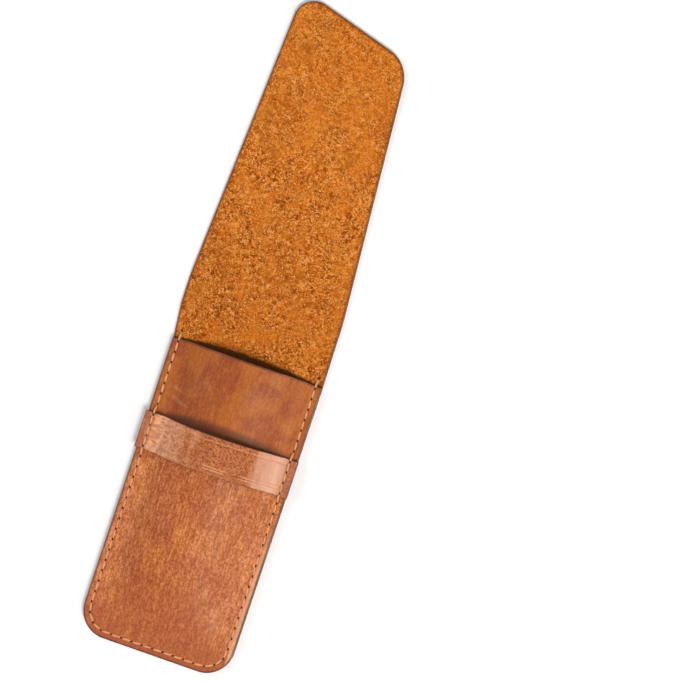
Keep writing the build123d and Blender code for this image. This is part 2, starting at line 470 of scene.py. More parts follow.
def grain_material(leather, clouds, pores):
    """Waxed grain side, darker towards the bottom: painted shade above the band, in the band's gap
    and along the bottom edge, and painted light on the sides, the right margin and the pucker
    ridges.
    """
    tree, shader, place = leather_material("grain_leather")
    edge = attribute(tree, "leather_edge")
    wax = waxed(tree, clouds, place, leather)
    x, y, _ = axes_of(place)
    pale = mixed(1.0, wax["Color"], PALED, "MULTIPLY")

    # Painted shade: the leather above the band, up the front and over the flap, is darkened
    above = stepped(y, *ABOVE_BAND_Y)
    shaded_above = mixed(above, wax["Color"], SHADE_ABOVE_BAND, "MULTIPLY")
    golden = stepped(noise(place, 80.0, 3.0, 0.5, 0.8), 0.40, 0.62)
    # Painted light: the sides of the lower front, where the crown slopes down, are lightened
    sides = times(
        stepped(calc("ABSOLUTE", x), *PALE_SIDES_X, 0.60),
        times(stepped(y, *PALE_SIDES_TOP_Y), stepped(y, *PALE_SIDES_LOW_Y)),
    )
    # Painted highlights on the raised pucker ridges
    ridges = stepped(attribute(tree, "leather_crease"), 0.25, 0.9, 0.14)
    # Painted shadow on the front under and just above the band's upper edge, reaching highest in
    # the middle
    gap = times(
        stepped(minus(y, bowed(place, 5.0 * MM)), *GAP_TOP_Y, 0.72), stepped(y, *GAP_LOW_Y)
    )
    in_front = stepped(axes_of(object_place(tree))["Z"], *FRONT_FROM_Z)
    # Painted shade along the bottom edge
    bottom_edge_shade = times(stepped(y, *SHADED_EDGE_Y, 0.75), stepped(edge, *SHADED_EDGE_REACH))
    uneven = times(noise(place, 350.0), 0.7 * MM)
    grain_colour = layered(
        shaded_above,
        # Darker golden clouds above the band: partly the leather's clouded tone, partly painted
        # shade
        (times(above, 0.52), mixed(golden, CLOUD_DARK, CLOUD_GOLD)),
        (stepped(y, *DARK_BOTTOM_Y, 0.38), leather.grain_deep),
        (sides, pale),
        # Painted light on the right margin strip of the lower front
        (times(stepped(x, *STRIP_X), stepped(y, *STRIP_Y)), mixed(0.55, pale, LIT_STRIP)),
        (ridges, RIDGE_HIGHLIGHT),
        (times(gap, in_front), GAP_SHADOW),
        (bottom_edge_shade, leather.grain_deep),
        (stepped(minus(edge, uneven), 0.0, 0.75 * MM, 0.0, 0.75), leather.cut_edge),
    )
    feed(shader, {
        "Base Color": grain_colour,
        "Roughness": stepped(wax["Wax"], 0.0, 1.0, 0.46, 0.58),
        "Specular IOR Level": 0.20,
        "Normal": bumped(grouped(tree, pores, {"Place": place})["Height"], 0.35, 0.12 * MM),
    })


def band_material(leather, clouds, pores):
    """The band's leather, smoother towards both ends, with painted light at both ends and painted
    highlights along its creased lines.
    """
    tree, shader, place = leather_material("band_leather")
    wax = waxed(tree, clouds, place, leather)
    across, up, _ = axes_of(place)

    ragged = minus(noise(place, 140.0, 4.0, 0.65, 0.5, (1.0, 0.3, 1.0)), 0.5)
    to_left = plus(times(across, -1.0), times(ragged, 0.04))
    to_right = plus(across, times(ragged, 0.008))
    left = stepped(to_left, 0.004, 0.025, 0.92)
    right = stepped(to_right, 0.0175, 0.0235)
    rubbed = calc("MAXIMUM", left, right)

    coarse = noise(place, 1250.0, 4.0, 0.7, 0.8)
    rasped = mixed(stepped(coarse, 0.39, 0.60), RASPED_DARK, RASPED_LIGHT)
    calm = plus(right, times(left, 0.75), clamp=True)
    grained = mixed(times(minus(1.0, calm), 0.95), wax["Color"], rasped)
    brightened = mixed(1.0, grained, (1.35, 1.75, 2.3), "MULTIPLY")
    strands = noise(place, 620.0, 3.0, 0.65, 0.5, (0.30, 1.0, 1.0))
    pulled = mixed(stepped(strands, 0.40, 0.60), STRAND_DARK, STRAND_LIGHT)
    # Painted light at the left end, with pale pulled strands of the leather
    lit_left_end = mixed(0.62, mixed(0.50, brightened, LEFT_END_LIGHT), pulled)
    faded = stepped(noise(place, 150.0), 0.38, 0.58)
    # Painted highlights along the band's creased lines
    lines = []
    for line, most in CREASE_HIGHLIGHT_LINES:
        off = calc("ABSOLUTE", minus(up, line))
        lines.append((times(stepped(off, 0.10 * MM, 0.55 * MM, 0.0, most), faded), CREASE_HIGHLIGHT))
    margins = stepped(calc("ABSOLUTE", across), *BAND_MARGIN_X, 0.85)
    # Painted light at both ends and painted highlights along the creased lines
    band_colour = layered(
        grained, (left, lit_left_end), (times(right, 0.70), RIGHT_END_HIGHLIGHT), *lines,
        (margins, mixed(1.0, wax["Color"], (0.80, 0.74, 0.62), "MULTIPLY")),
    )
    height = grouped(tree, pores, {"Place": place})["Height"]
    feed(shader, {
        "Base Color": band_colour,
        "Roughness": stepped(rubbed, 0.0, 1.0, 0.42, 0.66),
        "Specular IOR Level": 0.30,
        "Coat Weight": times(rubbed, 0.2),
        "Coat Roughness": 0.4,
        "Normal": bumped(plus(height, times(coarse, minus(1.5, rubbed))), 0.4, 0.15 * MM),
    })


def flesh_material(leather, nap):
    """Napped flesh side, darker towards the mouth, with painted shade just inside it."""
    tree, shader, place = leather_material("flesh_leather")
    fibres = grouped(
        tree, nap,
        {"Place": place, "Base": leather.flesh, "Shade": leather.flesh_deep,
         "Edge": attribute(tree, "leather_edge")},
    )
    up = axes_of(place)["Y"]
    ragged = times(noise(place, 240.0), 1.4 * MM)
    inner = minus(plus(up, ragged), bowed(place, 2.6 * MM))
    # Darker towards the mouth, and painted shade on the suede just above the mouth's edge
    darkened = layered(
        fibres["Color"],
        (stepped(up, 100 * MM, -5 * MM, 0.16), leather.flesh_deep),
        (stepped(inner, MOUTH_Y + 1.8 * MM, MOUTH_Y + 0.4 * MM, 0.85), MOUTH_SHADE),
    )
    feed(shader, {
        "Base Color": darkened,
        "Roughness": 0.95,
        "Specular IOR Level": 0.04,
        "Sheen Weight": 0.03,
        "Sheen Roughness": 0.45,
        "Sheen Tint": (1.0, 0.62, 0.30),
        "Normal": bumped(fibres["Height"], 0.9, 0.40 * MM),
    })


def edge_material(leather):
    """Burnished cut edge."""
    tree, shader, place = leather_material("cut_edge")
    fibres = noise(place, 900.0, 3.0, 0.6, 0.0, (1.0, 1.0, 2.0))
    rubbed = noise(place, 70.0)
    burnished = layered(
        leather.cut_edge,
        (stepped(fibres, 0.3, 0.7, 0.5), leather.grain_deep),
        (stepped(rubbed, 0.5, 0.75, 0.5), leather.grain),
    )
    feed(shader, {
        "Base Color": burnished,
        "Roughness": stepped(rubbed, 0.3, 0.7, 0.45, 0.65),
        "Normal": bumped(fibres, 0.4, 0.12 * MM),
    })


def thread_material(sewing):
    """Waxed thread of twisted plies, soiled here and there."""
    tree, shader = new_material("waxed_thread")
    place = object_place(tree)
    twist = add_node(
        tree, "ShaderNodeTexWave", {"Vector": place, "Scale": 900.0, "Distortion": 1.0},
        bands_direction="DIAGONAL",
    )["Fac"]
    darkened = layered(
        sewing.thread,
        (stepped(twist, 0.2, 0.8, 0.35), THREAD_SHADE),
        (stepped(noise(place, 160.0), 0.45, 0.75, 0.45), THREAD_SOIL),
    )
    feed(shader, {
        "Base Color": darkened,
        "Roughness": stepped(twist, 0.0, 1.0, 0.5, 0.62),
        "Normal": bumped(twist, 0.5, 0.1 * MM),
    })


def hole_material():
    """Painted shade of the awl holes, which the leather itself does not have."""
    tree, shader = new_material("hole_shade")
    hole_mottle = noise(object_place(tree), 800.0, 2.0, 0.5)
    feed(shader, {
        "Base Color": mixed(hole_mottle, HOLE_DARK, HOLE_LIGHT),
        "Roughness": stepped(hole_mottle, 0.0, 1.0, 0.85, 0.95),
    })


# Shapes


def smooth_step(value, low, high):
    share = np.clip((value - low) / (high - low), 0.0, 1.0)
    return share * share * (3 - 2 * share)


def ridge(offset, width, power=2):
    """Rounded ridge, one high where the offset is nothing."""
    return np.exp(-((offset / width) ** power))


def crown_height(x, rise):
    """Height of a crown's underside: it bends up from the margins and runs over in one arc."""
    across = np.minimum(np.abs(x), CROWN_HALF)
    rise = np.maximum(rise, 1e-7)
    turned = 2 * np.arctan2(rise, CROWN_HALF)
    radii = CROWN_HALF / np.sin(turned)
    broad, bend = radii * (1 - BEND_SHARE), radii * BEND_SHARE
    over = rise - (broad - np.sqrt(np.maximum(broad**2 - across**2, 0)))
    up = bend - np.sqrt(np.maximum(bend**2 - (CROWN_HALF - across) ** 2, 0))
    return np.where(across < broad * np.sin(turned), over, up)


def edge_distance(x, y):
    """Distance inwards from the case's sides and rounded bottom."""
    side = np.abs(x) - (CASE_HALF - CORNER)
    low = (BOTTOM_Y + CORNER) - y
    outside = np.hypot(np.maximum(side, 0), np.maximum(low, 0))
    return CORNER - outside - np.minimum(np.maximum(side, low), 0)


def swell(x, y, size, seed):
    """Gentle unevenness of hand-cut leather, about one high, from a few crossed waves."""
    rng = np.random.default_rng(seed)
    total = np.zeros_like(x)
    for _ in range(9):
        angle, phase = rng.uniform(0, pi), rng.uniform(0, 2 * pi)
        wave = size * rng.uniform(0.6, 1.8)
        total += np.sin(2 * pi * (x * cos(angle) + y * sin(angle)) / wave + phase)
    return total / 5.0


def rounded(corner, before, after, radius, steps):
    """Points of the arc that rounds a corner between two straight sides."""
    corner, before, after = (np.array(p, float) for p in (corner, before, after))
    back, on = before - corner, after - corner
    back, on = back / np.linalg.norm(back), on / np.linalg.norm(on)
    half = acos(np.clip(back @ on, -1, 1)) / 2
    centre = corner + (back + on) / np.linalg.norm(back + on) * radius / sin(half)
    reach = radius / tan(half)
    start, end = corner + back * reach - centre, corner + on * reach - centre
    first = atan2(start[1], start[0])
    sweep = atan2(end[1], end[0]) - first
    sweep = (sweep + pi) % (2 * pi) - pi
    angles = first + sweep * np.linspace(0, 1, steps)
    return [tuple(centre + radius * np.array((cos(a), sin(a)))) for a in angles]


def case_outline():
    """Sides and rounded bottom of the case, up past the mouth."""
    left_low, right_low = (-CASE_HALF, BOTTOM_Y), (CASE_HALF, BOTTOM_Y)
    left_top, right_top = (-CASE_HALF, TIP_Y), (CASE_HALF, TIP_Y)
    return [
        left_top, *rounded(left_low, left_top, right_low, CORNER, 24),
        *rounded(right_low, left_low, right_top, CORNER, 24), right_top,
    ]


def flap_outline():
    """Outline of the flap from the mouth to its slanted, rounded tip.

    It is drawn square to the mouth, then leaned and shifted."""
    corner = (pi / 2 - TIP_SLANT + TAPER) / 2
    rounding = cos(TAPER) / tan(corner) + sin(TAPER) - 1
    tip = (TIP_Y - MOUTH_Y) + TIP_RADIUS_LEFT * rounding + 0.13 * MM
    slope = tan(TAPER)
    left = -(FLAP_HALF - (tip - TAPER_START) * slope)
    fall = tan(TIP_SLANT)
    right_height = (tip - (FLAP_HALF - left + TAPER_START * slope) * fall) / (1 - slope * fall)
    right = FLAP_HALF - (right_height - TAPER_START) * slope
    ends = -CASE_HALF + FLAP_SHIFT, CASE_HALF + FLAP_SHIFT
    tip_left, tip_right = (left, tip), (right, right_height)
    flares = [(-FLAP_HALF, FLAP_FLARE), (FLAP_HALF, FLAP_FLARE)]
    shoulders = [(-FLAP_HALF, TAPER_START), (FLAP_HALF, TAPER_START)]
    points = [
        (ends[0], -2 * MM), (ends[0], 0), flares[0],
        *rounded(shoulders[0], flares[0], tip_left, SHOULDER_RADIUS, 8),
        *rounded(tip_left, shoulders[0], tip_right, TIP_RADIUS_LEFT, 24),
        *rounded(tip_right, tip_left, shoulders[1], TIP_RADIUS_RIGHT, 24),
        *rounded(shoulders[1], tip_right, flares[1], SHOULDER_RADIUS, 8),
        flares[1], (ends[1], 0), (ends[1], -2 * MM),
    ]
    leaned = [Matrix.Rotation(FLAP_LEAN, 2) @ Vector(point) for point in points]
    return [(point.x - FLAP_SHIFT, point.y + MOUTH_Y) for point in leaned]


def row_ends(outline, anchor, slope):
    """Where a row through a point, rising by slope across, meets a convex outline."""
    points = np.array(outline)
    offset = (points[:, 1] - anchor[1]) - slope * (points[:, 0] - anchor[0])
    after, offset_after = np.roll(points, -1, axis=0), np.roll(offset, -1)
    met = (offset > 0) != (offset_after > 0)
    share = (offset[met] / (offset[met] - offset_after[met]))[:, None]
    crossings = points[met] + (after[met] - points[met]) * share
    return min(crossings, key=lambda p: p[0]), max(crossings, key=lambda p: p[0])


def column_shares(spacing, width):
    """Shares across a sheet, closer together towards its edges."""
    even = np.linspace(-1, 1, int(width / spacing))
    return np.sin(even * pi / 2 * CROWDING) / sin(pi / 2 * CROWDING)


def eased_rows(start, end, spacing, ease_start=0.0, ease_end=0.0):
    """Row places along the sheet, drawn close together over the rounded ends."""

    def eased(place, reach, angles):
        return [place + reach * (1 - cos(angle)) for angle in angles] if reach else []

    low, high = start + ease_start, end - ease_end
    rows = eased(start, ease_start, np.linspace(0, pi / 2, 18)[:-1])
    rows += list(np.linspace(low, high, max(int((high - low) / spacing), 2)))
    return np.array(rows + eased(end, -ease_end, np.linspace(pi / 2, 0, 18)[1:]))


def sheet_grid(outline, rows, shares, slant=lambda y: 0.0, anchor_x=0.0):
    """Flat grid over a convex outline; each row may rise across the sheet."""
    grid = np.zeros((len(rows), len(shares), 2))
    for i, y in enumerate(rows):
        left, right = row_ends(outline, (anchor_x, y), slant(y))
        grid[i] = (left + right) / 2 + np.outer(shares, (right - left) / 2)
    return grid


def new_mesh(name, vertices, faces):
    mesh = bpy.data.meshes.new(name)
    mesh.from_pydata(vertices, [], faces)
    mesh.polygons.foreach_set("use_smooth", np.ones(len(mesh.polygons), bool))
    return mesh


def add_values(mesh, name, values):
    """A point attribute of the mesh, of numbers or of vectors."""
    values = np.array(values, np.float32)
    kind, key = ("FLOAT_VECTOR", "vector") if values.ndim == 2 else ("FLOAT", "value")
    mesh.attributes.new(name, kind, "POINT").data.foreach_set(key, values.ravel())


def add_piece(name, data, *looks):
    """An object in the scene, dressed in its materials."""
    piece = bpy.data.objects.new(name, data)
    bpy.context.scene.collection.objects.link(piece)
    for look in looks:
        data.materials.append(bpy.data.materials[look + "_look"])
    return piece


def rim_of(rows, columns):
    """Row and column of each grid point round the rim of a sheet, in order."""
    index = np.arange(rows * columns).reshape(rows, columns)
    rim = np.concatenate((index[0], index[1:, -1], index[-1, -2::-1], index[-2:0:-1, 0]))
    return np.divmod(rim, columns)


def nearest(points, ring):
    """Distance from each point to the nearest point of a ring."""
    return np.array([np.linalg.norm(ring - point, axis=1).min() for point in points])


def build_sheet(
    name, looks, grid, under, joined=(), upper_relief=None, under_relief=None, creases=None
):
    """Closed sheet of leather over a flat grid, with looks for its upper face, lower face and rim.

    under gives the height of its underside, joined names the ends that meet another sheet and so
    stay square, the reliefs raise the upper or lower face, and creases marks the raised ones."""
    edge_round = bpy.context.scene.pen_case.leather.edge_round
    rows, columns = grid.shape[:2]
    x, y = grid[..., 0], grid[..., 1]
    step = 0.05 * MM
    z = under(x, y)
    slope_x = (under(x + step, y) - under(x - step, y)) / (2 * step)
    slope_y = (under(x, y + step) - under(x, y - step)) / (2 * step)
    normal = np.dstack((-slope_x, -slope_y, np.ones_like(z)))
    normal /= np.linalg.norm(normal, axis=2, keepdims=True)
    middle = np.dstack((x, y, z)) + normal * LEATHER / 2

    rim = rim_of(rows, columns)
    ring, around = grid[rim], len(rim[0])
    along = np.roll(ring, -1, axis=0) - np.roll(ring, 1, axis=0)
    along /= np.maximum(np.linalg.norm(along, axis=1, keepdims=True), 1e-12)
    outward = np.column_stack((along[:, 1], -along[:, 0], np.zeros(around)))
    square = np.zeros(around, bool)
    for end, row in (("start", 0), ("end", rows - 1)):
        if end in joined:
            on_end = rim[0] == row
            inside = on_end & (rim[1] > 0) & (rim[1] < columns - 1)
            square |= inside
            outward[inside] = 0
            for column, way in ((0, -1.0), (columns - 1, 1.0)):
                outward[on_end & (rim[1] == column)] = (way, 0.0, 0.0)

    def face(sign, relief):
        lifted = middle + sign * normal * LEATHER / 2
        if relief is not None:
            lifted = lifted + normal * relief(x, y)[..., None]
        lifted[rim] -= outward * edge_round
        return lifted.reshape(-1, 3)

    belts = []
    for sign, angle in ((1, 60), (1, 30), (1, 0), (-1, 0), (-1, 30), (-1, 60)):
        angle = radians(angle)
        lift = sign * (LEATHER / 2 - edge_round + edge_round * sin(angle))
        belt = middle[rim] + outward * edge_round * (cos(angle) - 1)
        belts.append(belt + normal[rim] * lift)
    vertices = np.vstack((face(1, upper_relief), *belts, face(-1, under_relief)))

    count = rows * columns
    below = count + len(belts) * around
    rings = [rim[0] * columns + rim[1]]
    rings += [count + k * around + np.arange(around) for k in range(len(belts))]
    rings.append(rings[0] + below)
    corner = (np.arange(rows - 1)[:, None] * columns + np.arange(columns - 1)).ravel()
    low = corner + below
    top_faces = np.column_stack((corner, corner + 1, corner + columns + 1, corner + columns))
    low_faces = np.column_stack((low, low + columns, low + columns + 1, low + 1))
    belt_faces = [
        np.column_stack((upper, lower, np.roll(lower, -1), np.roll(upper, -1)))
        for upper, lower in zip(rings, rings[1:])
    ]
    faces = np.vstack((top_faces, low_faces, *belt_faces))
    slots = np.repeat((0, 1, 2), (len(corner), len(corner), len(belts) * around + around))

    mesh = new_mesh(name, vertices.tolist(), faces.tolist())
    mesh.polygons.foreach_set("material_index", slots.astype(np.int32))
    add_values(mesh, "leather_place", vertices)
    belted = np.zeros(len(belts) * around)
    high = creases(x, y).ravel() / (0.3 * MM) if creases else np.zeros(count)
    add_values(mesh, "leather_crease", np.concatenate((high, belted, np.zeros(count))))
    reach = nearest(grid.reshape(-1, 2), ring[~square])
    add_values(mesh, "leather_edge", np.concatenate((reach, belted, reach)))
    mesh.update()
    mesh.validate()
    mesh.set_sharp_from_angle(angle=radians(50))
    return add_piece(name, mesh, *looks)


def floor_lift(x, y):
    """Underside of the back and flap: it lies on the floor, with the tip a little sprung."""
    beyond = np.maximum(y - FOLDS["top_fold"][1], 0)
    spring = TIP_SPRING * smooth_step(beyond, 20 * MM, 130 * MM)
    sprung = spring * (0.6 + 0.4 * swell(x, y, 90 * MM, 5))
    return np.maximum(FLOOR_Z + sprung, FLOOR_Z)


def hide_upper(x, y):
    """Faint curved wrinkles across the flap where it has been folded, and soft unevenness."""
    curved = y + 0.9 * MM * np.sin(x / (17 * MM)) - 2.0 * MM * (x / CASE_HALF) ** 2
    wrinkles = np.zeros_like(x)
    for centre, depth, width in FOLD_WRINKLES:
        wrinkles -= depth * MM * ridge(curved - centre * MM, width * MM)
    wrinkles = wrinkles * (0.7 + 0.3 * np.sin(x / (6 * MM) + 1.0))
    middle = smooth_step(CASE_HALF - np.abs(x), 2 * MM, 12 * MM)
    return (wrinkles + 0.10 * MM * swell(x, y, 22 * MM, 8)) * middle


def hide_under(x, y):
    """Groove for the stitches along the seam of the outer side."""
    groove = GROOVE_DEPTH * ridge(edge_distance(x, y) - SEAM_INSET, GROOVE_WIDTH, 4)
    return groove * smooth_step(y, SEAM_TOP_Y + 2.5 * MM, SEAM_TOP_Y + 1.2 * MM)


def front_under(x, y):
    down = np.clip((MOUTH_Y - y) / (MOUTH_Y - CROWN_END_Y), 0, 1)
    return FRONT_Z + crown_height(x, POCKET_RISE * (1 - down**8) ** 1.5)


def puckers(x, y):
    """Short ridges and dents where the leather has buckled."""
    wrinkle = np.zeros_like(x)
    for left, down, angle, reach, width, height in PUCKERS:
        angle = radians(angle)
        over, up = x - left * MM, y - (MOUTH_Y - down * MM)
        along = over * cos(angle) + up * sin(angle)
        away = up * cos(angle) - over * sin(angle)
        fall = -((away / (width * MM)) ** 2) - (along / (reach * MM)) ** 2
        wrinkle += height * MM * np.exp(fall)
    return wrinkle


def front_relief(x, y):
    """The dip along the seam, soft unevenness, and the puckers."""
    distance = edge_distance(x, y)
    dip = -SEAM_DIP * ridge(distance - SEAM_INSET, DIP_WIDTH)
    below_mouth = smooth_step(y, MOUTH_Y + 6 * MM, MOUTH_Y + 3 * MM)
    middle = smooth_step(distance, 3 * MM, 12 * MM)
    return dip * below_mouth + 0.22 * MM * swell(x, y, 34 * MM, 3) * middle + puckers(x, y)


def band_under(x, y):
    return BAND_Z + crown_height(x, np.full_like(x, BAND_RISE))


def band_relief(x, y):
    """Creased lines along both edges of the band, and the dip of the seam over its ends."""
    lines = np.zeros_like(x)
    for place, depth in BAND_LINES:
        lines -= depth * MM * ridge(y - BAND_LOW.y - place, 0.36 * MM)
    dip = -BAND_DIP * ridge(CASE_HALF - np.abs(x) - SEAM_INSET, DIP_WIDTH)
    return lines + dip + 0.12 * MM * swell(x, y, 16 * MM, 12)


# Pieces


class OBJECT_OT_pen_case_finishes(Operator):
    """Mix the leathers, the thread and the dark of the holes"""

    bl_idname = "object.pen_case_finishes"
    bl_label = "Finishes"

    def execute(self, context):
        case = context.scene.pen_case
        clouds, pores = cloud_group(), pore_group()
        grain_material(case.leather, clouds, pores)
        band_material(case.leather, clouds, pores)
        flesh_material(case.leather, nap_group())
        edge_material(case.leather)
        thread_material(case.sewing)
        hole_material()
        return {"FINISHED"}


class OBJECT_OT_pen_case_hide(Operator):
    """Make the back and the flap, one leather cut in two where nothing bends"""

    bl_idname = "object.pen_case_hide"
    bl_label = "Back and flap"

    def execute(self, context):
        looks = ("flesh_leather", "grain_leather", "cut_edge")
        shares = column_shares(0.9 * MM, 2 * CASE_HALF)
        join_y = (FOLDS["mouth_fold"][1] + FOLDS["top_fold"][1]) / 2
        flap = flap_outline()
        low_rows = eased_rows(BOTTOM_Y, MOUTH_Y, 1.6 * MM, ease_start=CORNER)
        high_rows = eased_rows(MOUTH_Y, join_y, 0.7 * MM)[1:]
        back_grid = np.concatenate(
            (sheet_grid(case_outline(), low_rows, shares), sheet_grid(flap, high_rows, shares))
        )
        back = build_sheet(
            "back_leather", looks, back_grid, floor_lift, ("end",), hide_upper, hide_under
        )
        tip_left = max(flap, key=lambda point: point[1])
        tip_angle = TIP_SLANT - FLAP_LEAN
        tip_end = tip_left[1] + TIP_RADIUS_LEFT * (1 / cos(tip_angle) - 1) - 0.002 * MM
        tip_rows = eased_rows(join_y, tip_end, 0.9 * MM, ease_end=14 * MM)

        def slant(y):
            turned = smooth_step(y, TIP_Y - 100 * MM, TIP_Y - 15 * MM)
            return -tan(tip_angle) * float(turned)

        flap_grid = sheet_grid(flap, tip_rows, shares, slant, tip_left[0])
        tongue = build_sheet(
            "flap_leather", looks, flap_grid, floor_lift, ("start",), hide_upper
        )
        for piece, bodies, joint, nodes in (
            (back, ("case", "spine"), "mouth_fold", ("back_panel", "flap_spine")),
            (tongue, ("spine", "tongue"), "top_fold", ("flap_tongue",)),
        ):
            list(bodies)
            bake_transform(piece)
            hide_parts(*nodes)
        return {"FINISHED"}


class OBJECT_OT_pen_case_front(Operator):
    """Make the pocket's crowned front"""

    bl_idname = "object.pen_case_front"
    bl_label = "Pocket front"

    def execute(self, context):
        looks = ("grain_leather", "flesh_leather", "cut_edge")
        rows = eased_rows(BOTTOM_Y, MOUTH_Y, 0.8 * MM, ease_start=CORNER)
        grid = sheet_grid(case_outline(), rows, column_shares(0.75 * MM, 2 * CASE_HALF))
        near_mouth = smooth_step(grid[..., 1], MOUTH_Y - 20 * MM, MOUTH_Y)
        grid[..., 1] += MOUTH_BOW * near_mouth * (1 - (grid[..., 0] / CASE_HALF) ** 2)
        piece = build_sheet(
            "front_leather", looks, grid, front_under, (), front_relief, creases=puckers
        )
        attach(piece, "case")
        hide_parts("front_panel")
        return {"FINISHED"}


class OBJECT_OT_pen_case_band(Operator):
    """Make the keeper band"""

    bl_idname = "object.pen_case_band"
    bl_label = "Keeper band"

    def execute(self, context):
        looks = ("band_leather", "flesh_leather", "cut_edge")
        across, low, high, inside = BAND_HIGH.x, BAND_LOW.y, BAND_HIGH.y, 0.001 * MM
        outline = [(-across, high), (-across, low), (across, low), (across, high)]
        rows = np.linspace(low + inside, high - inside, 100)
        grid = sheet_grid(outline, rows, column_shares(0.6 * MM, 2 * across))
        piece = build_sheet("band_leather", looks, grid, band_under, (), band_relief)
        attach(piece, "case")
        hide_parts("keeper_band")
        return {"FINISHED"}


def seam_line(pitch):
    """Places and headings of the holes: down the left side, round the bottom, up the right."""
    half, radius, low = CASE_HALF - SEAM_INSET, CORNER - SEAM_INSET, BOTTOM_Y + SEAM_INSET
    side, quarter, across = SEAM_TOP_Y - low - radius, radius * pi / 2, 2 * (half - radius)
    total = 2 * side + 2 * quarter + across

    def corner(x, angle):
        place = (x + radius * cos(angle), low + radius + radius * sin(angle))
        return (*place, angle + pi / 2)

    runs = (
        (side, lambda s: (-half, SEAM_TOP_Y - s, -pi / 2)),
        (quarter, lambda s: corner(-half + radius, pi + s / radius)),
        (across, lambda s: (-half + radius + s, low, 0.0)),
        (quarter, lambda s: corner(half - radius, 1.5 * pi + s / radius)),
        (inf, lambda s: (half, low + radius + s, pi / 2)),
    )
    holes = []
    for along in np.linspace(0, total, round(total / pitch) + 1):
        for run, place in runs:
            if along <= run:
                holes.append(place(along))
                break
            along -= run
    return holes


def leather_top(x, y):
    """Upper side of the leather under the seam."""
    if y > MOUTH_Y:
        return LEATHER
    if BAND_LOW.y < y < BAND_HIGH.y:
        return BAND_Z + LEATHER - BAND_DIP
    return FRONT_Z + LEATHER - SEAM_DIP


def thread_tube(path, width):
    """Closed flattened tube of two twisted plies along a path of (along, up) points."""
    path = np.array(path)
    tangent = np.gradient(path, axis=0)
    tangent /= np.linalg.norm(tangent, axis=1, keepdims=True)
    normal = np.column_stack((-tangent[:, 1], tangent[:, 0]))
    angles = np.linspace(0, 2 * pi, TUBE_SIDES, endpoint=False)
    slim = 1 - END_SLIMMING * np.abs(np.linspace(-1, 1, len(path))[:, None]) ** 4
    run, height, (lean, up) = path[:, :1], path[:, 1:], normal.T[..., None]
    ply = 1 + PLY_SWELL * np.cos(2 * angles - 2 * pi * run / TWIST_LENGTH)
    side = np.cos(angles) * width / 2 * slim * ply
    lift = np.sin(angles) * THREAD_HEIGHT / 2 * slim * ply
    vertices = np.dstack((run + lean * lift, side, height + up * lift)).reshape(-1, 3)
    places = np.dstack(np.broadcast_arrays(run, angles * MM, 0)).reshape(-1, 3)
    count, last = len(angles), len(vertices) - 1
    first = np.arange(last + 1 - count)
    after = np.where((first + 1) % count, first + 1, first + 1 - count)
    faces = np.column_stack((first, first + count, after + count, after)).tolist()
    faces += [tuple(range(count)), tuple(range(last, last - count, -1))]
    mesh = new_mesh("thread", vertices, faces)
    add_values(mesh, "leather_place", places)
    mesh.update()
    return mesh


def drawn_path(reach, surface):
    """Line of a thread drawn taut from hole to hole over a surface given at shares of the way."""
    shares = np.linspace(0, 1, SPOTS)
    heights = np.array([surface(s) for s in shares])
    taut = heights.copy()
    for a in range(SPOTS):
        for b in range(a + 1, SPOTS):
            span = slice(a, b + 1)
            part = (shares[span] - shares[a]) / (shares[b] - shares[a])
            taut[span] = np.maximum(taut[span], heights[a] + (heights[b] - heights[a]) * part)
    taut = np.convolve(np.pad(taut, 2, mode="edge"), np.full(5, 1 / 5), mode="valid")
    dive = STITCH_DIVE * np.abs(2 * shares - 1) ** 9
    return list(zip((shares - 0.5) * reach * STITCH_SHARE, taut - dive))


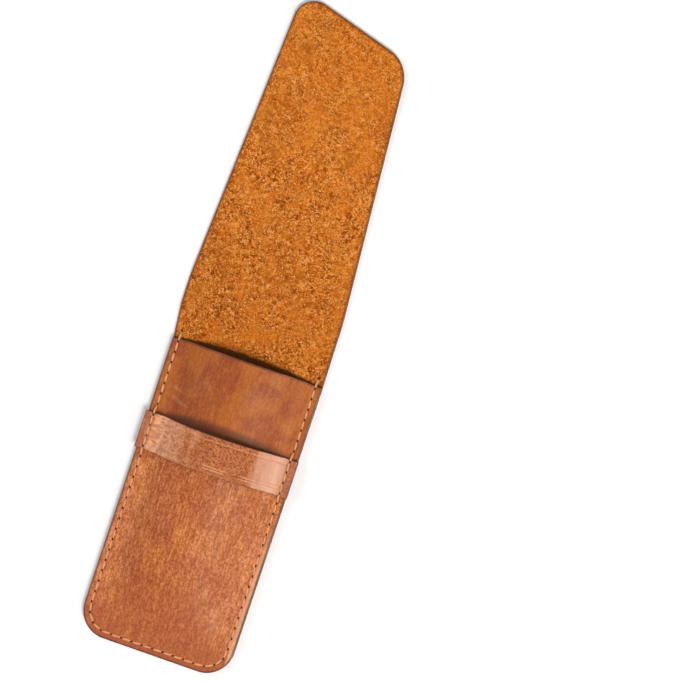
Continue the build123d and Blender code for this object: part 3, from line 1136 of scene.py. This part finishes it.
def instanced(name, points, mark, finish):
    """A mark put at each point by Geometry Nodes, then kept as a plain mesh.

    A point is a place, a turn and a stretch."""
    places, turns, sizes = zip(*points)
    cloud = new_mesh(name + "_points", places, [])
    add_values(cloud, "turn", turns)
    add_values(cloud, "size", sizes)
    source, holder = add_piece(name + "_mark", mark), add_piece(name + "_points", cloud)

    tree = bpy.data.node_groups.new(name, "GeometryNodeTree")
    sockets = {}
    for label, kind, way in (
        ("Geometry", "Geometry", "INPUT"), ("Geometry", "Geometry", "OUTPUT"),
        ("Mark", "Object", "INPUT"), ("Finish", "Material", "INPUT"),
        ("Unevenness", "Float", "INPUT"), ("Seed", "Int", "INPUT"),
    ):
        made = tree.interface.new_socket(name=label, in_out=way, socket_type="NodeSocket" + kind)
        sockets[label] = made.identifier
    given = tree.nodes.new("NodeGroupInput").outputs

    def add(kind, inputs, **settings):
        return add_node(tree, kind, inputs, **settings)

    turned, sized = (
        add("GeometryNodeInputNamedAttribute", {"Name": label}, data_type="FLOAT_VECTOR")[0]
        for label in ("turn", "size")
    )
    chance = add(
        "FunctionNodeRandomValue",
        {"Min": (0.0, 0.0, 0.0), "Max": (1.0, 1.0, 1.0), "Seed": given["Seed"]},
        data_type="FLOAT_VECTOR",
    )
    narrow = add(
        "ShaderNodeCombineXYZ", {"X": 1.0, "Y": minus(1.0, given["Unevenness"]), "Z": 1.0}
    )
    uneven = add(
        "ShaderNodeMix", {1: chance["Value"], 4: narrow[0], 5: (1.0, 1.0, 1.0)},
        data_type="VECTOR", factor_mode="NON_UNIFORM",
    )
    scale = add("ShaderNodeVectorMath", {0: sized, 1: uneven[1]}, operation="MULTIPLY")
    placed = add(
        "GeometryNodeInstanceOnPoints",
        {"Points": given["Geometry"],
         "Instance": add("GeometryNodeObjectInfo", {"Object": given["Mark"]})["Geometry"],
         "Rotation": add("FunctionNodeEulerToRotation", {"Euler": turned})[0],
         "Scale": scale[0]},
    )
    real = add("GeometryNodeRealizeInstances", {"Geometry": placed["Instances"]})
    finished = add(
        "GeometryNodeSetMaterial", {"Geometry": real["Geometry"], "Material": given["Finish"]}
    )
    feed(tree.nodes.new("NodeGroupOutput"), {"Geometry": finished["Geometry"]})

    modifier = holder.modifiers.new("Marks", "NODES")
    modifier.node_group = tree
    look = bpy.data.materials[finish + "_look"]
    for label, value in (
        ("Mark", source), ("Finish", look), ("Unevenness", UNEVENNESS), ("Seed", SEED)
    ):
        modifier[sockets[label]] = value
    bpy.context.view_layer.update()
    evaluated = holder.evaluated_get(bpy.context.evaluated_depsgraph_get())
    mesh = bpy.data.meshes.new_from_object(evaluated)
    mesh.name = name
    holder.modifiers.clear()
    for spent in (holder, source):
        bpy.data.objects.remove(spent)
    return add_piece(name, mesh)


def hole_mesh(width):
    """Small closed lens, the painted shade of one hole, with its faces in the same order at every
    run.
    """
    shape = bmesh.new()
    bmesh.ops.create_uvsphere(shape, u_segments=16, v_segments=8, radius=0.5)
    bmesh.ops.scale(shape, vec=(width, width * HOLE_NARROWING, HOLE_DEPTH), verts=shape.verts)
    shape.verts.index_update()
    places, faces = [tuple(corner.co) for corner in shape.verts], []
    for face in shape.faces:
        around = [corner.index for corner in face.verts]
        first = around.index(min(around))
        faces.append(around[first:] + around[:first])
    shape.free()
    return new_mesh("hole", places, sorted(faces))


class OBJECT_OT_pen_case_seam(Operator):
    """Sew the seam: its stitches on both sides and the painted shade of the holes between them"""

    bl_idname = "object.pen_case_seam"
    bl_label = "Seam"

    def execute(self, context):
        sewing = context.scene.pen_case.sewing
        holes = seam_line(sewing.pitch)
        level, steps, under = [], [], []
        for (ax, ay, _), (bx, by, _) in zip(holes, holes[1:]):
            apart, heading = hypot(bx - ax, by - ay), atan2(by - ay, bx - ax)
            middle = ((ax + bx) / 2, (ay + by) / 2)
            tops = [
                leather_top(ax + (bx - ax) * s, ay + (by - ay) * s)
                for s in np.linspace(0, 1, SPOTS)
            ]
            slanted, stretch = heading + STITCH_SLANT, (apart / sewing.pitch, 1, 1)
            under.append(((*middle, UNDER_Z), (pi, 0, slanted), stretch))
            if max(tops) - min(tops) < 0.1 * MM:
                level.append(((*middle, tops[0] + STITCH_LIFT), (0, 0, slanted), stretch))
            else:
                steps.append((middle, heading, apart, tops))
        straight = thread_tube(drawn_path(sewing.pitch, lambda s: 0.0), sewing.thread_width)
        piece = instanced("seam_stitches", level + under, straight, "waxed_thread")
        for index, (middle, heading, apart, tops) in enumerate(steps):
            def surface(share):
                at = round(share * (SPOTS - 1))
                return max(tops[max(0, at - 3): at + 4]) + STITCH_LIFT
            mesh = thread_tube(drawn_path(apart, surface), sewing.thread_width)
            mesh.transform(Matrix.Translation((*middle, 0)) @ Matrix.Rotation(heading, 4, "Z"))
            step = add_piece(f"seam_step_{index + 1}", mesh, "waxed_thread")
            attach(step, "case")
        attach(piece, "case")
        marks = [
            ((x, y, leather_top(x, y) - HOLE_SINK), (0, 0, heading + HOLE_SLANT), (1, 1, 1))
            for x, y, heading in holes
        ]
        dark = instanced("seam_holes", marks, hole_mesh(sewing.hole_width), "hole_shade")
        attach(dark, "case")
        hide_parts("seam_thread")
        return {"FINISHED"}


# Stage


class OBJECT_OT_pen_case_stage(Operator):
    """Lay the floor, set the lights and place the camera"""

    bl_idname = "object.pen_case_stage"
    bl_label = "Stage"

    def execute(self, context):
        stage, scene = context.scene.pen_case.stage, context.scene
        reach, level = FLOOR_REACH, FLOOR_Z - 0.05 * MM
        corners = ((-reach, -reach), (reach, -reach), (reach, reach), (-reach, reach))
        floor_mesh = bpy.data.meshes.new("floor")
        floor_mesh.from_pydata([(*corner, level) for corner in corners], [], [(0, 1, 2, 3)])
        self.floor_material(stage)
        floor = add_piece("floor", floor_mesh, "floor")

        for name, (direction, size, share, tint) in LAMPS.items():
            lamp = bpy.data.lights.new(name, "AREA")
            lamp.shape, lamp.size, lamp.energy, lamp.color = "DISK", size, stage.key * share, tint
            placed = add_piece(name, lamp)
            direction = Vector(direction).normalized()
            placed.location = AIM + direction * LAMP_DISTANCE
            placed.rotation_euler = direction.to_track_quat("Z", "Y").to_euler()

        world = bpy.data.worlds.new("studio")
        scene.world = world
        world.use_nodes = True
        sky = world.node_tree.nodes["Background"]
        strength = stepped(self.background_seen(world.node_tree), 0.0, 1.0, 1.0, stage.fill)
        feed(sky, {"Color": (1.0, 1.0, 1.0), "Strength": strength})

        camera_data = bpy.data.cameras.new("camera")
        camera_data.lens = LENS
        camera_data.clip_end = 20.0
        camera = add_piece("camera", camera_data)
        scene.camera = camera
        back = Vector((tan(stage.lean_right), tan(stage.lean_up), 1.0)).normalized()
        up = Vector((-sin(stage.roll), cos(stage.roll), 0.0))
        up = (up - up.dot(back) * back).normalized()
        facing = Matrix((up.cross(back), up, back)).transposed()
        distance = camera_data.lens / camera_data.sensor_width * PICTURE_WIDTH
        camera.matrix_world = Matrix.Translation(AIM + back * distance) @ facing.to_4x4()
        scene.view_settings.view_transform = "Standard"
        return {"FINISHED"}

    def floor_material(self, stage):
        """Pale, faintly clouded floor that runs out to the background's white."""
        tree, shader = new_material("floor")
        cloud = noise(object_place(tree), 3.0, 2.0, 0.5)
        lift = mixed(self.background_seen(tree), (0.0, 0.0, 0.0), (0.14, 0.14, 0.14))
        feed(shader, {
            "Base Color": mixed(cloud, stage.floor, tuple(c * 0.99 for c in stage.floor)),
            "Roughness": 0.9,
            "Specular IOR Level": 0.1,
            "Emission Color": lift,
            "Emission Strength": 1.0,
        })

    def background_seen(self, tree):
        """1 where the camera sees the background, straight, mirrored or through glass."""
        rays = tree.nodes.new("ShaderNodeLightPath").outputs
        glossy = calc("MAXIMUM", rays["Is Glossy Ray"], rays["Is Transmission Ray"])
        return calc("MAXIMUM", rays["Is Camera Ray"], glossy)


class VIEW3D_PT_pen_case(Panel):
    """Sizes, colours and steps of the pen case"""

    bl_idname = "VIEW3D_PT_pen_case"
    bl_label = "Pen case"
    bl_space_type = "VIEW_3D"
    bl_region_type = "UI"
    bl_category = "Pen case"

    def draw(self, context):
        case = context.scene.pen_case
        for settings, steps in (
            (case.leather, STEPS[:4]), (case.sewing, STEPS[4:5]), (case.stage, STEPS[5:])
        ):
            box = self.layout.box()
            for name in settings.__annotations__:
                box.prop(settings, name)
            for step in steps:
                box.operator(step.bl_idname)


STEPS = (
    OBJECT_OT_pen_case_finishes,
    OBJECT_OT_pen_case_hide,
    OBJECT_OT_pen_case_front,
    OBJECT_OT_pen_case_band,
    OBJECT_OT_pen_case_seam,
    OBJECT_OT_pen_case_stage,
)
CLASSES = (
    PenCaseLeather, PenCaseSewing, PenCaseStage, PenCase, *STEPS, VIEW3D_PT_pen_case,
)


def register():
    for made in CLASSES:
        bpy.utils.register_class(made)
    bpy.types.Scene.pen_case = PointerProperty(type=PenCase)


def unregister():
    del bpy.types.Scene.pen_case
    for made in reversed(CLASSES):
        bpy.utils.unregister_class(made)


def main():
    register()
    bpy.ops.object.pen_case_finishes()
    bpy.ops.object.pen_case_hide()
    bpy.ops.object.pen_case_front()
    bpy.ops.object.pen_case_band()
    bpy.ops.object.pen_case_seam()
    bpy.ops.object.pen_case_stage()


if __name__ == "__main__":
    main()
